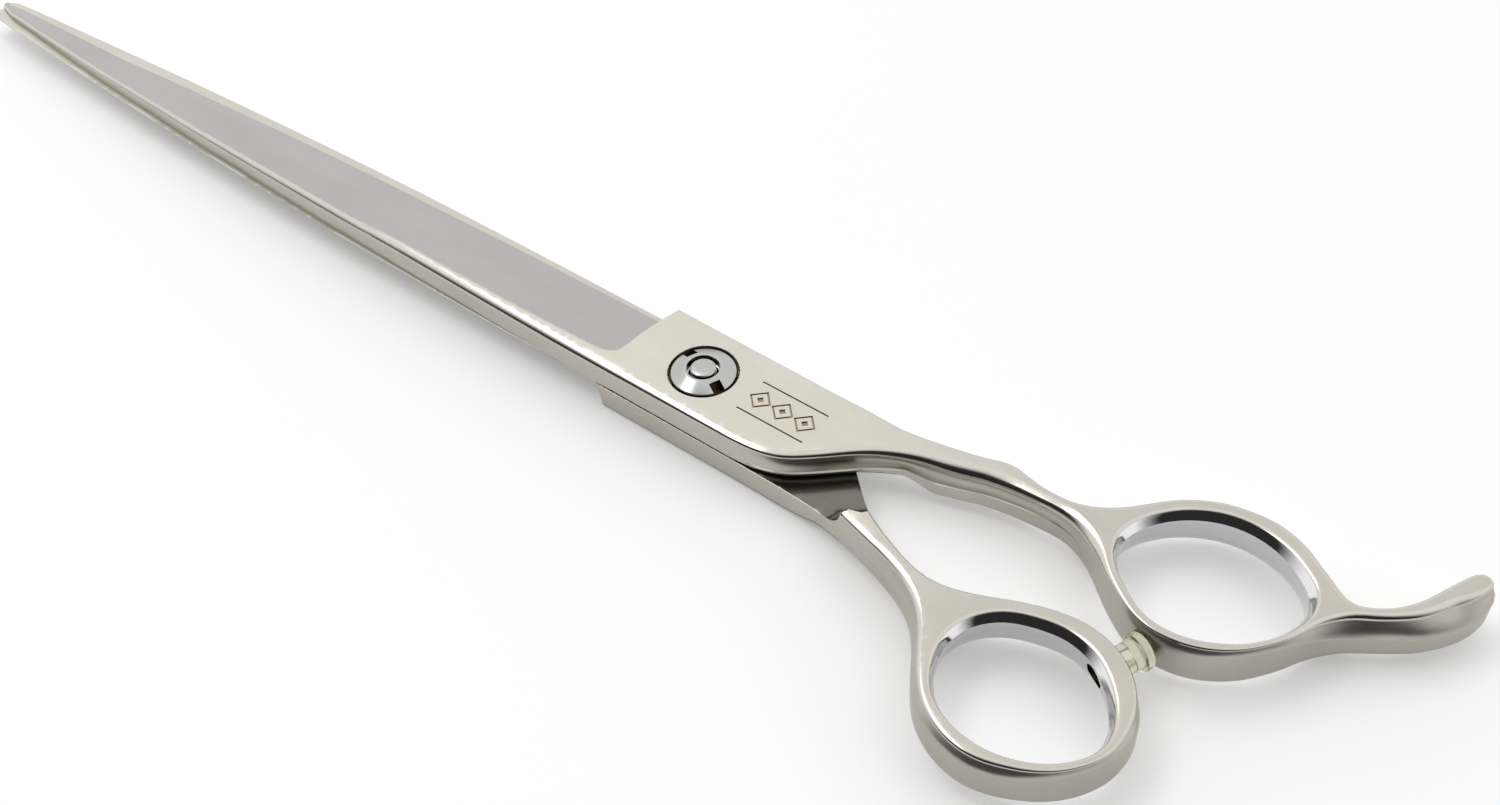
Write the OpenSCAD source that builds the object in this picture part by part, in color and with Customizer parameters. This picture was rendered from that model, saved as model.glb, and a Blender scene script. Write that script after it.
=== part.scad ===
// Long barber shears: two forged blades on a screw pivot with a key-adjusted
// tension nut. Origin on the pivot axis, on the resting plane (underside of the
// lower block). +X runs to the handles, +Y to the finger ring, +Z up. Millimetres.

/* [Blades] */
// Length of the blades, pivot to tip
blade_len = 155; // [130:1:160]
// Thickness of each blade blank at the block
blank_t = 3.8; // [3.4:0.1:4.4]
// Thickness of each blade at its tip
tip_t = 1.1; // [0.8:0.1:1.6]
// Half width of the block
block_hw = 7.3; // [7:0.1:7.6]

/* [Handles] */
// Height of the rings and shanks
ring_h = 5.8; // [5:0.1:6.2]
// Size of the finger ring's hole, 1 = 23 x 20 mm
finger_hole = 1; // [0.92:0.01:1.03]
// Size of the thumb ring's hole, 1 = 22 x 19 mm
thumb_hole = 1; // [0.92:0.01:1.03]

/* [Pivot] */
// Diameter of the screw journal
journal_d = 5; // [4.6:0.1:5.2]
// Diameter of the tension nut
nut_d = 9.2; // [8.8:0.1:9.4]
// Height of the nut cone above the block
nut_rise = 0.95; // [0.5:0.05:1.2]
// Radial clearance of the running fits
run_fit = 0.03; // [0.02:0.01:0.08]
// Number of clicks per turn
clicks = 12; // [6:1:18]

/* [Bumper] */
// Diameter of the bumper body
bumper_d = 3.8; // [3:0.1:4]
// Diameter of the bumper collar
collar_d = 4.7; // [4:0.1:5]

/* [Hidden] */
$fn = 72;
big = 400;
ride_gap = 0.01;
ride_up = blank_t + ride_gap;
ride_down = blank_t - ride_gap;
block_top = 2*blank_t;
ring_z = block_top - ring_h;
upper_step = -10.8;
lower_step = -12.6;

// Pivot stack, heights above the resting plane
head_h = 1.3;
key_top = ride_down - 0.48;
pocket_z = block_top - 2;
thrust_h = 0.35;
spring_h = 0.4;
click_h = 0.45;
nut_z = pocket_z + thrust_h + spring_h + click_h;
nut_rim = block_top - 0.15;
nut_top = block_top + nut_rise;
thread_d = 4;
boss_d = 3.5;
slot_angle = 158;

// Bumper axis, from the thumb ring towards the finger ring
bumper_c = [64.3, -6.9];
bumper_yaw = 68;
bumper_z = 4.4;
bumper_len = 4.55;
bumper_seat = 0.5;

steel = [0.77, 0.75, 0.71];
chrome = [0.85, 0.85, 0.87];
brass = [0.80, 0.64, 0.34];
nylon = [0.92, 0.92, 0.88];
amber = [0.93, 0.91, 0.80];

// A smooth curve through a list of points: Catmull-Rom, seg pieces per span
function spline(a, b, c, d, t) =
    0.5*(2*b + (c - a)*t + (2*a - 5*b + 4*c - d)*t*t + (3*b - a - 3*c + d)*t*t*t);
function closed_curve(p, seg) =
    let (n = len(p))
    [for (i = [0:n - 1], k = [0:seg - 1])
        spline(p[(i + n - 1) % n], p[i], p[(i + 1) % n], p[(i + 2) % n], k/seg)];
function open_curve(p, seg) =
    let (n = len(p))
    [for (i = [0:n - 2], k = [0:(i == n - 2 ? seg : seg - 1)])
        spline(p[max(i - 1, 0)], p[i], p[i + 1], p[min(i + 2, n - 1)], k/seg)];
function scaled(p, c, k) = [for (q = p) c + k*(q - c)];
function backwards(p) = [for (i = [len(p) - 1:-1:0]) p[i]];

// Blade edges as [part of the blade length, y], from block to tip
edge_side = [[0.05, 7.1], [0.24, 7.15], [0.4, 6.9], [0.56, 6.1], [0.72, 5], [0.87, 3.6],
             [0.965, 2.7]];
spine_side = [[0.05, -7.3], [0.2, -7], [0.34, -6.6], [0.48, -5.9], [0.62, -5], [0.8, -3.4],
              [0.97, -1.2]];
function along(p) = [for (q = p) [-q[0]*blade_len, q[1]]];
edge_line = along(edge_side);
tip_arc = [[-0.992*blade_len, 2.3], [-blade_len, 1.4], [-0.997*blade_len, -0.1]];

module blade_plan() {
    polygon(concat([[0, 7]], edge_line, tip_arc, backwards(along(spine_side)),
                   [[0, -block_hw]]));
}

// Everything above a plane through p that rises gx per mm in x and gy per mm in y
module above_plane(p, gx, gy) {
    translate(p) rotate([atan(gy), -atan(gx), 0])
        translate([-big/2, -big/2, 0]) cube([big, big, 50]);
}

// Sharp bevel along the cutting edge: one slanted cut for each straight stretch
module edge_bevel() {
    for (i = [0:len(edge_line) - 2]) {
        a = edge_line[i];
        d = edge_line[i + 1] - a;
        translate([a[0], a[1], ride_up + 0.12]) rotate([0, 0, atan2(d[1], d[0])])
            rotate([35, 0, 0]) translate([-big/2, -big/2, 0]) cube([big, big, 30]);
    }
}

// One blade, ground on its outer face, in the upper position
module ground_blade(step_x) {
    difference() {
        translate([0, 0, ride_up]) linear_extrude(blank_t - ride_gap) blade_plan();
        translate([step_x + 2, -big/2, 0]) cube([big, big, 20]);
        above_plane([-60, 0, block_top], (blank_t - tip_t)/(blade_len - 60), 0);
        above_plane([-14, 7.1, ride_up + 0.35], 0.004, -0.273);
        edge_bevel();
    }
}

// Lower blade: the upper one turned over, so its edge lies under the upper spine
module turned_blade() {
    translate([0, 0, block_top]) mirror([0, 0, 1]) mirror([0, 1, 0])
        ground_blade(lower_step);
}

// Block and start of the shank, seen from above
finger_root = concat(
    [[upper_step, -block_hw]],
    open_curve([[10, -block_hw], [14, -6.9], [17.4, -5.7], [20.8, -3], [24.6, 0.4],
                [28.6, 2.9], [33, 4.9], [37, 5.9]], 3),
    [[36, 9.4], [31, 7.8], [26, 7], [17, 6.85], [upper_step + 0.6, 7.15]]);
thumb_root = concat(
    [[lower_step, -block_hw], [10, -block_hw]],
    [[18, -7.4], [24, -7.7], [28.3, -8.8], [31, -9.7], [31, -5.4]],
    open_curve([[29, -4.2], [26.4, -1.8], [22.8, 1.5], [19, 4.4], [15.4, 6.4], [12, 7.1]], 3),
    [[lower_step, 7.15]]);

// Shank, ring and tang outlines
finger_handle = [
    [31.5, 8], [35, 8.8], [38, 10], [40.6, 10.6], [42.8, 10.2], [46, 9.6], [49.6, 9.8],
    [53, 11.6], [56.2, 14.8], [60, 18.3], [64.4, 20.7], [69.5, 21.6], [74.5, 20.4],
    [79, 17.4], [82.4, 15.2], [85.6, 16.4], [88.2, 19.6], [90.2, 24], [91.8, 27.2],
    [93.6, 27.5], [94.7, 25.6], [93.8, 21.4], [90.8, 17], [87.2, 14.1], [83.6, 11.5],
    [81.1, 8.6], [79, 5.2], [75.8, 1.2], [71.8, -1.6], [67.6, -2.5], [63.6, -1.7],
    [59.8, 0.7], [56.4, 3.4], [53.2, 5.7], [50, 6.9], [46, 7], [41, 6.6], [36.5, 5.6],
    [33, 4.2]];
finger_opening = [
    [56, 8.6], [57.2, 12.4], [60.4, 16.1], [64.8, 18.5], [69.6, 19], [74.2, 17.7],
    [77.9, 14.8], [79.2, 10.8], [77.8, 6.1], [74.4, 1.8], [69.6, -0.6], [64.7, -0.6],
    [60.4, 1.9], [57.2, 5]];
thumb_handle = [
    [29, -4.5], [32.2, -6], [35.4, -7.6], [38.6, -9.1], [41.6, -9.9], [44.6, -9.8],
    [48.2, -8.7], [52.6, -6.8], [57, -5.4], [61.4, -5.2], [65.6, -6.6], [69, -9.4],
    [71.2, -13.2], [71.5, -17.4], [69.9, -21.4], [67, -24.8], [63, -27.4], [58.6, -28.5],
    [54.2, -27.7], [50.2, -25.3], [47.4, -21.8], [45, -18], [42.6, -15], [39.6, -12.9],
    [36, -11.4], [32, -10.1], [28.2, -8.9], [28.2, -7]];
thumb_opening = [
    [47.6, -16], [48.5, -12.3], [51.3, -9.2], [55.2, -7.5], [59.4, -6.9], [63.5, -8],
    [67.1, -11], [69.4, -14.9], [69.6, -18.8], [67.6, -22.3], [64.3, -24.8], [60, -26.1],
    [55.6, -25.8], [51.6, -23.9], [48.9, -20.4]];

module slab(z, h, p) {
    translate([0, 0, z]) linear_extrude(h) polygon(p);
}

module handle(outline, opening) {
    difference() {
        slab(ring_z, ring_h, closed_curve(outline, 4));
        slab(ring_z - 1, ring_h + 2, closed_curve(opening, 5));
    }
}

module ornament() {
    // two rules and a row of three lozenges, cut 0.15 deep
    depth = 0.15;
    translate([12.6, 0.3, block_top - depth]) linear_extrude(1) {
        for (s = [-1, 1]) translate([0, 2.75*s]) square([10.4, 0.22], center = true);
        for (i = [-1:1]) translate([3*i, 0]) difference() {
            rotate(45) square(2.2, center = true);
            rotate(45) square(1.75, center = true);
        }
        for (i = [-1:1]) translate([3*i, 0]) rotate(45) square(0.7, center = true);
    }
}

module finger_solid() {
    ground_blade(upper_step);
    slab(ride_up, blank_t - ride_gap, finger_root);
    handle(finger_handle, scaled(finger_opening, [67.6, 9.1], finger_hole));
}

module finger_blade() {
    color(steel) difference() {
        finger_solid();
        translate([0, 0, pocket_z]) cylinder(d = nut_d + 0.3, h = 10);
        translate([0, 0, ride_up - 1]) cylinder(d = journal_d + 1.6 + 2*run_fit, h = 10);
        ornament();
    }
}

module thumb_solid() {
    turned_blade();
    slab(0, ride_down, thumb_root);
    handle(thumb_handle, scaled(thumb_opening, [58.5, -16.5], thumb_hole));
}

// Round bar with two flats
module double_d(d, across, h) {
    intersection() {
        cylinder(d = d, h = h);
        translate([-d, -across/2, 0]) cube([2*d, across, h]);
    }
}

module bumper_frame() {
    translate([bumper_c[0], bumper_c[1], bumper_z]) rotate([0, 0, bumper_yaw])
        rotate([0, 90, 0]) children();
}

module thumb_blade() {
    color(steel) difference() {
        thumb_solid();
        translate([0, 0, -1]) cylinder(d = 9 + 2*run_fit, h = 1 + head_h + 0.02);
        translate([0, 0, -1]) double_d(5.6 + 2*run_fit, 4.6 + 2*run_fit, 10);
        translate([0, 0, ride_down - 0.5]) cylinder(d = 9.4, h = 2);
        bumper_frame() {
            translate([0, 0, -6]) cylinder(d = 1.7, h = 8);
            translate([0, 0, bumper_seat]) cylinder(d = bumper_d + 0.4, h = 2);
        }
    }
}

module pivot_screw() {
    color(chrome) rotate_extrude() polygon([
        [0, 0], [4.3, 0], [4.5, 0.2], [4.5, head_h], [2.3, head_h], [2.3, key_top],
        [journal_d/2, key_top], [journal_d/2, pocket_z + thrust_h],
        [thread_d/2, pocket_z + thrust_h], [thread_d/2, block_top - 0.1],
        [boss_d/2, block_top + 0.1], [boss_d/2, nut_top - 0.35], [0, nut_top]]);
    color(chrome) translate([0, 0, head_h - 0.1]) double_d(5.6, 4.6, key_top - head_h + 0.1);
}

module pivot_bush() {
    color(brass) translate([0, 0, ride_up + 0.04]) difference() {
        cylinder(d = journal_d + 1.6, h = pocket_z - ride_up - 0.06);
        translate([0, 0, -1]) cylinder(d = journal_d + 2*run_fit, h = 10);
    }
}

module slide_washer() {
    color(nylon) translate([0, 0, ride_down - 0.48]) difference() {
        cylinder(d = 9.2, h = 0.48);
        translate([0, 0, -1]) cylinder(d = 5.8, h = 3);
    }
}

module thrust_washer() {
    color(steel) translate([0, 0, pocket_z]) difference() {
        cylinder(d = nut_d + 0.2, h = thrust_h - 0.02);
        translate([0, 0, -1]) cylinder(d = journal_d + 2*run_fit, h = 3);
    }
}

module spring_washer() {
    low = pocket_z + thrust_h;
    color(chrome) rotate_extrude() polygon([
        [2.1, low + 0.16], [4.3, low], [4.3, low + 0.2], [2.1, low + 0.36]]);
}

module click_ring() {
    z = nut_z - click_h;
    color(brass) translate([0, 0, z]) difference() {
        cylinder(d = nut_d - 0.2, h = click_h - 0.04);
        translate([0, 0, -1]) cylinder(d = thread_d + 2*run_fit, h = 3);
        for (i = [0:clicks - 1]) rotate([0, 0, 360*i/clicks])
            translate([3.7, 0, click_h - 0.04]) rotate([0, 90, 0])
                cylinder(r = 0.2, h = 2, $fn = 24);
    }
}

module tension_nut() {
    color(chrome) difference() {
        rotate_extrude() polygon([
            [thread_d/2 + run_fit, nut_z], [nut_d/2, nut_z], [nut_d/2, nut_rim],
            [2.5, nut_top], [2.15, nut_top], [2.15, block_top - 0.35],
            [thread_d/2 + run_fit, block_top - 0.4]]);
        for (s = [0, 180]) rotate([0, 0, slot_angle + s])
            translate([2.9, -0.8, nut_z - 1]) cube([4, 1.6, 5]);
    }
}

module bumper() {
    color(amber) bumper_frame() difference() {
        rotate_extrude() polygon([
            [0, bumper_seat + 0.02], [bumper_d/2, bumper_seat + 0.02],
            [bumper_d/2, bumper_len - 1.1],
            [collar_d/2, bumper_len - 1.1], [collar_d/2, bumper_len - 0.3],
            [collar_d/2 - 0.3, bumper_len], [0, bumper_len]]);
        translate([0, 0, -1]) cylinder(d = 1.6, h = 3.5);
    }
}

module bumper_stud() {
    color(chrome) bumper_frame() translate([0, 0, -0.9]) cylinder(d = 1.56, h = 3.4);
}

finger_blade();
thumb_blade();
pivot_screw();
pivot_bush();
slide_washer();
thrust_washer();
spring_washer();
click_ring();
tension_nut();
bumper();
bumper_stud();
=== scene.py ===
"""Long barber shears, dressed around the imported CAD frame.

Plan outlines, hole positions and the pivot stack are taken from the CAD nodes.
Sculpted sizes are in millimetres, in the CAD frame: the pivot axis is Z, +X runs
to the handles, +Y to the finger ring and the shears lie on z = 0.
"""

import math

import bmesh
import bpy
import numpy as np
from mathutils import Matrix, Vector
from mathutils.geometry import delaunay_2d_cdt


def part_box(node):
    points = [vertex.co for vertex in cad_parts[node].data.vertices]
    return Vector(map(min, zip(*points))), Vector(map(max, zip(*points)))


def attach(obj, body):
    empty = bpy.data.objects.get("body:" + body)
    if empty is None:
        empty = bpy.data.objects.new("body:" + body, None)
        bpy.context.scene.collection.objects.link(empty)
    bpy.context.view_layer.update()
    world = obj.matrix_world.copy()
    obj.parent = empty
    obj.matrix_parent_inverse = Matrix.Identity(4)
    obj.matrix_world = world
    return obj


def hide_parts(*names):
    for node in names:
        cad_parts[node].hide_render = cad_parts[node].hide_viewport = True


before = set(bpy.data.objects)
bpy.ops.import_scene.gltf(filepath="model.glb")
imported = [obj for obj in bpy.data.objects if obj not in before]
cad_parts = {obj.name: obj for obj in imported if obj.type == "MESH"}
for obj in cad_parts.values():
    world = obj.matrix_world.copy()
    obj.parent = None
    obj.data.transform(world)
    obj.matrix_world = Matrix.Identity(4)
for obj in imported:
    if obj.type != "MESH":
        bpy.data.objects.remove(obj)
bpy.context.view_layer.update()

MM = 0.001
# points on a full circle
ROUND = 96
# distance of each blade's inner face from the plane where the blades ride
RIDE_GAP = 0.01


def cad_box(node):
    """Lowest and highest corner of a CAD node, in millimetres."""
    low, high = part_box(node)
    return np.array(low) / MM, np.array(high) / MM


FINGER_LOW, FINGER_HIGH = cad_box("finger_blade")
TIP_X = FINGER_LOW[0]
RING_BOTTOM = FINGER_LOW[2]
BLOCK_TOP = FINGER_HIGH[2]
RIDE = BLOCK_TOP / 2
# the CAD blades are cut for their outlines this far from the plane where they meet, and
# the thumb half's ring at this height
JUST_OFF = 0.06
GRIP_LEVEL = 2.2

# plan directions: the near side of the halves, the camera's side, along the tang
NEAR_SIDE = np.array([0.5, -0.87])
VIEW_SIDE = np.array([0.3, -0.95])
TANG_AXIS = np.array([0.87, 0.5])
# turns plan points of the thumb half over, so that its blade lies as the finger blade does
MIRRORED = np.array([1, -1])


# ---------------------------------------------------------------- plan outlines

# every outline starts at the point that lies furthest along this direction
LOOP_START = np.array([0.02, -1])
# shorter edges of a CAD outline are dropped, and the outline is then refined to even steps
SHORTEST = 0.2
FINE_STEP = 0.1


def section_loops(node, height):
    """Closed outlines of a CAD node at one height, counter-clockwise, in mm."""
    bm = bmesh.new()
    bm.from_mesh(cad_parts[node].data)
    bmesh.ops.remove_doubles(bm, verts=bm.verts, dist=0.001 * MM)
    cut = bmesh.ops.bisect_plane(
        bm, geom=bm.verts[:] + bm.edges[:] + bm.faces[:], dist=0.0001 * MM,
        plane_co=(0, 0, height * MM), plane_no=(0, 0, 1))
    neighbours = {}
    for edge in cut["geom_cut"]:
        if isinstance(edge, bmesh.types.BMEdge):
            a, b = edge.verts
            neighbours.setdefault(a, []).append(b)
            neighbours.setdefault(b, []).append(a)
    loops = []
    left = set(neighbours)
    while left:
        start = left.pop()
        loop = [start]
        while True:
            ahead = [v for v in neighbours[loop[-1]] if v in left]
            if not ahead:
                break
            left.discard(ahead[0])
            loop.append(ahead[0])
        points = np.array([v.co[:2] for v in loop]) / MM
        points = points if signed_area(points) > 0 else points[::-1]
        first = int((points @ LOOP_START).argmax())
        loops.append(np.roll(points, -first, axis=0))
    bm.free()
    return sorted(loops, key=lambda p: -abs(signed_area(p)))


def signed_area(points):
    x, y = points.T
    return 0.5 * float(np.sum(x * np.roll(y, -1) - y * np.roll(x, -1)))


def open_run(loop, keep):
    """The one unbroken run of kept points of a closed loop, in order."""
    first = np.flatnonzero(keep & ~np.roll(keep, 1))[0]
    return np.roll(loop, -first, axis=0)[np.roll(keep, -first)]


def smooth_step(value, start, end):
    t = np.clip((value - start) / (end - start), 0, 1)
    return t * t * (3 - 2 * t)


def blur_chain(chain, sigma):
    """A closed chain in fine steps, its first point repeated last, blurred along its length."""
    reach = int(3 * sigma / FINE_STEP)
    weights = np.exp(-0.5 * (np.arange(-reach, reach + 1) * FINE_STEP / sigma) ** 2)
    weights /= weights.sum()
    padded = np.vstack([chain[-reach - 1:-1], chain, chain[1:reach + 1]])
    return np.column_stack([np.convolve(padded[:, k], weights, "valid") for k in (0, 1)])


def dense_chain(chain):
    """The chain in even fine steps."""
    lengths = np.hypot(*np.diff(chain, axis=0).T)
    along = np.concatenate([[0], np.cumsum(lengths)])
    count = int(along[-1] / FINE_STEP)
    at = np.linspace(0, along[-1], count + 1)
    return np.column_stack([np.interp(at, along, chain[:, k]) for k in (0, 1)])


def fair_loop(loop, spacing, joint=None):
    """The loop without facets, blurred most along the blade and where the shank joins."""
    gaps = np.hypot(*(loop - np.roll(loop, 1, axis=0)).T)
    loop = loop[gaps > SHORTEST]
    even = dense_chain(np.vstack([loop, loop[:1]]))
    x = even[:, 0]
    soft = blur_chain(even, 0.5)
    if joint:
        blade = smooth_step(x, -16, -22) * smooth_step(x, -150, -140)
        weld = smooth_step(x, joint[0] - 3, joint[0]) * smooth_step(x, joint[1] + 2, joint[1])
        for sigma, share in ((4.0, blade), (2.2, weld)):
            soft = soft + (blur_chain(even, sigma) - soft) * share[:, None]
    weights = 1 / spacing(soft)
    runs = 0.5 * (weights[1:] + weights[:-1]) * FINE_STEP
    along = np.concatenate([[0], np.cumsum(runs)])
    at = np.linspace(0, along[-1], int(round(along[-1])) + 1)[:-1]
    return np.column_stack([np.interp(at, along, soft[:, k]) for k in (0, 1)])


def left_normals(loop):
    """Unit normals on the left of a closed loop, lengthened at corners as a mitre."""
    ahead = np.roll(loop, -1, axis=0) - loop
    ahead /= np.hypot(*ahead.T)[:, None]
    side = np.column_stack([-ahead[:, 1], ahead[:, 0]])
    both = side + np.roll(side, 1, axis=0)
    both /= np.hypot(*both.T)[:, None]
    spread = np.clip((both * side).sum(1), 0.6, 1)
    return both / spread[:, None]


def line_normals(line):
    """Unit normals on the left of an open line's points."""
    run = np.diff(line, axis=0)
    across = np.column_stack([-run[:, 1], run[:, 0]]) / np.hypot(*run.T)[:, None]
    return np.vstack([across, across[-1:]])


def curve_through(points):
    """A smooth open curve through the points: Catmull-Rom."""
    p = np.vstack([2 * points[0] - points[1], points, 2 * points[-1] - points[-2]])
    out = []
    for i in range(1, len(p) - 2):
        a, b, c, d = p[i - 1:i + 3]
        for t in np.arange(6) / 6:
            out.append(0.5 * (2 * b + (c - a) * t + (2 * a - 5 * b + 4 * c - d) * t ** 2
                              + (3 * b - a - 3 * c + d) * t ** 3))
    out.append(points[-1])
    return np.array(out)


def line_distance(points, line):
    """Signed distance from each point to a polyline, positive on its left."""
    start = line[:-1]
    run = line[1:] - start
    rel = points[:, None] - start[None]
    t = np.clip((rel * run).sum(2) / (run * run).sum(1), 0, 1)
    gap = rel - t[..., None] * run
    dist = np.hypot(gap[..., 0], gap[..., 1])
    best = dist.argmin(1)
    rows = np.arange(len(points))
    nearest = rel[rows, best]
    side = run[best, 0] * nearest[:, 1] - run[best, 1] * nearest[:, 0]
    return np.where(side >= 0, 1, -1) * dist[rows, best]


# ---------------------------------------------------------------- blade relief

# heights above the ride plane: spine at the block and at the tip, cutting edge, bevel
SPINE_TOP = BLOCK_TOP - RIDE
SPINE_TIP = 0.85
EDGE_LAND = 0.12
BEVEL_TOP = 0.75
# length of the hollow in which the ground panel runs out at the block
RUN_OUT = 2.6
# where the relief ends under the block, and where the panel's slot and outlines end
RELIEF_END = -7.5
BLADE_END = -8
# plan lines of the step at the block and of the border beside the ground panel
STEP_EDGE = np.array([(-11.75, -3.75), (-11.3, -2.4), (-11.2, 0.4), (-10.6, 4.4),
                      (-10.06, 7.12), (-9.7, 9.0)])
BORDER = np.array([(-51.0, -5.3), (-31.0, -5.35), (-18.7, -5.05), (-13.6, -4.75)])


class Relief:
    """Height of a blade's ground outer face above the ride plane, its spine on -Y."""

    def __init__(self, outline, shift):
        outward = -left_normals(outline)
        blade = outline[:, 0] < BLADE_END
        far = outline[blade & (outward[:, 1] > 0)]
        near = outline[blade & (outward[:, 1] <= 0)]
        self.far = far[np.argsort(far[:, 0])]
        self.near = near[np.argsort(near[:, 0])]
        merge = np.arange(-150.0, -60.0, 11.0)
        border = np.interp(merge, [-150, -100], [0.25, 0.75])
        spine = np.column_stack([merge, self.spine(merge) + border])
        offset = np.array([shift, 0])
        self.rim = curve_through(np.vstack([spine, BORDER + offset, STEP_EDGE + offset]))

    def edge(self, x):
        return np.interp(x, *self.far.T)

    def spine(self, x):
        return np.interp(x, *self.near.T)

    def crown(self, x):
        return np.interp(x, [TIP_X, -50], [SPINE_TIP, SPINE_TOP])

    def bevel_width(self, x):
        width = np.interp(x, [TIP_X, -125, -84, -58, -12], [1.2, 2.3, 1.8, 1.7, 1.1])
        return np.minimum(width, 0.45 * (self.edge(x) - self.spine(x)) + 0.05)

    def ground(self, points):
        x, y = points.T
        edge, width, crown = self.edge(x), self.bevel_width(x), self.crown(x)
        low = np.minimum(BEVEL_TOP, 0.6 * crown)
        border = np.interp(x, *self.rim[self.rim[:, 0] < -12.2].T)
        border = np.minimum(border, edge - width - 0.2)
        high = crown - 0.16 * smooth_step(x, -74, -50)
        rise = (edge - width - y) / (edge - width - border)
        panel = low + (high - low) * np.clip(rise, 0, 1.3)
        bevel = EDGE_LAND + (low - EDGE_LAND) * np.clip((edge - y) / width, 0, 1)
        return np.where(y > edge - width, bevel, np.minimum(panel, crown))

    def run_out(self, depth):
        return RUN_OUT * np.sqrt(np.maximum(depth, 0) / SPINE_TOP) + 0.03

    def height(self, points):
        crown = self.crown(points[:, 0])
        ground = self.ground(points)
        depth = np.maximum(crown - ground, 0)
        inside = line_distance(points, self.rim)
        q = np.clip(inside / self.run_out(depth), 0, 1)
        wall = 1 - np.sqrt(np.maximum(1 - (1 - q) ** 2, 0))
        return np.where(inside <= 0, crown, ground + depth * wall)

    def slots(self, points):
        """The fine-ground panel has its own slot, clear of the bevel and the run-out."""
        x, y = points.T
        depth = self.crown(x) - self.ground(points)
        deep = line_distance(points, self.rim) > 0.5 * self.run_out(depth)
        panel = (x < BLADE_END) & deep & (y < self.edge(x) - self.bevel_width(x))
        return np.where(panel, PANEL, SATIN)

    def features(self):
        """Lines of the relief that the mesh follows."""
        show = self.rim[:, 0] > -75
        rim, normal = self.rim[show], line_normals(self.rim)[show]
        near = rim + 0.3 * normal
        length = self.run_out(self.crown(near[:, 0]) - self.ground(near))
        lines = [rim + normal * (length * q)[:, None] for q in (0, 0.05, 0.18, 0.4, 0.7, 1)]
        x = np.arange(TIP_X + 2.5, -7.0, 1.5)
        lines.append(np.column_stack([x, self.edge(x) - self.bevel_width(x)]))
        return lines


# ---------------------------------------------------------------- forging

class Rim:
    """Wall profile at each point of an outline, in mm; ridge is a share of the height.

    From the top: brow (sloped strip), radius (rounded edge), inset (how far the wall
    starts inside the outline), flute (hollow), ledge (step at the ridge), foot (rounded
    bottom edge) and waist (swelling towards the outside).
    """

    usual = {"ridge": 0.42, "ledge": 0, "flute": 0, "waist": 0, "brow": 0.05}

    def __init__(self, points, sizes):
        full = np.ones(len(points))
        for name, size in (self.usual | sizes).items():
            setattr(self, name, full * size)


def curve_room(points, inward):
    """Radius of the largest circle that fits inside the outline at each point."""
    room = np.full(len(points), 50.0)
    for i in range(len(points)):
        gap = points - points[i]
        into = gap @ inward[i]
        far = np.hypot(*gap.T)
        ok = into > 0.02 * far
        if ok.any():
            room[i] = min(room[i], float(np.min(far[ok] ** 2 / (2 * into[ok]))))
    return room


def even_out(values, passes):
    for _ in range(passes):
        values = 0.25 * np.roll(values, 1) + 0.5 * values + 0.25 * np.roll(values, -1)
    return values


# slope of the narrow strip between a top face and its rounded edge
BROW_TILT = math.radians(17)
# how much of the waist a wall has at some levels, from its bottom (0) to its top (1)
WAIST_LEVELS = (0, 0.25, 0.8, 1)
WAIST_SHARES = (0.1, 0.7, 1, 0)


def wall_rings(points, inward, top, bottom, rim):
    """Rings of 3-D points down a wall, from the top face's edge to the bottom face's."""
    reach = rim.inset + rim.radius + rim.brow
    crest = top(points + inward * reach[:, None])
    base = bottom(points + inward * rim.foot[:, None])
    fit = np.minimum(1, 0.9 * (crest - base) / np.maximum(rim.radius + rim.foot, 1e-6))
    radius = rim.radius * fit
    foot = rim.foot * fit
    lift = rim.radius - radius
    brim = crest - math.tan(BROW_TILT) * rim.brow
    start = np.minimum(0.03, 0.5 * rim.brow)
    arcs = [(reach, crest), (reach - start, crest - start * math.tan(BROW_TILT))]
    for angle in np.linspace(BROW_TILT, 0.5 * math.pi, 5):
        across = (1 - np.sin(angle)) / (1 - math.sin(BROW_TILT))
        arcs.append((rim.inset + lift + radius * across,
                     brim - radius * (1 - np.cos(angle) / math.cos(BROW_TILT))))
    shoulder = brim - radius
    heel = base + foot
    ridge = heel + rim.ridge * (shoulder - heel)
    for t in (0.12, 0.3, 0.5, 0.7, 0.88, 1):
        lean = (rim.inset + lift) * (1 - t) + rim.ledge * t
        arcs.append((lean + rim.flute * np.sin(np.pi * t), shoulder + (ridge - shoulder) * t))
    under = np.minimum(0.02 + 0.3 * rim.ledge, 0.3 * (ridge - heel))
    arcs.append((0.08 * rim.ledge, ridge - under))
    for t in (0.35, 0.7):
        arcs.append((0 * ridge, ridge + (heel - ridge) * t))
    for angle in np.radians([0, 22.5, 45, 67.5, 90]):
        arcs.append((foot * (1 - np.cos(angle)) + (rim.foot - foot) * np.sin(angle),
                     heel - foot * np.sin(angle)))
    rings = []
    for depth, height in arcs:
        level = np.clip((height - base) / np.maximum(crest - base, 1e-6), 0, 1)
        swell = rim.waist * np.interp(level, WAIST_LEVELS, WAIST_SHARES)
        spot = points + inward * (depth - swell)[:, None]
        rings.append(np.column_stack([spot, height]))
    return rings


def inside_loops(points, loops):
    """Even-odd test: which points are inside the outlines and outside their holes."""
    odd = np.zeros(len(points), bool)
    x, y = points.T
    for loop in loops:
        for (x1, y1), (x2, y2) in zip(loop, np.roll(loop, -1, axis=0)):
            if y1 != y2:
                odd ^= ((y1 > y) != (y2 > y)) & (x < (x2 - x1) * (y - y1) / (y2 - y1) + x1)
    return odd


def clear_of(points, loops, gap):
    """Which points keep a gap to every outline."""
    keep = np.ones(len(points), bool)
    for loop in loops:
        keep &= abs(line_distance(points, np.vstack([loop, loop[:1]]))) > gap
    return keep


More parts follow.
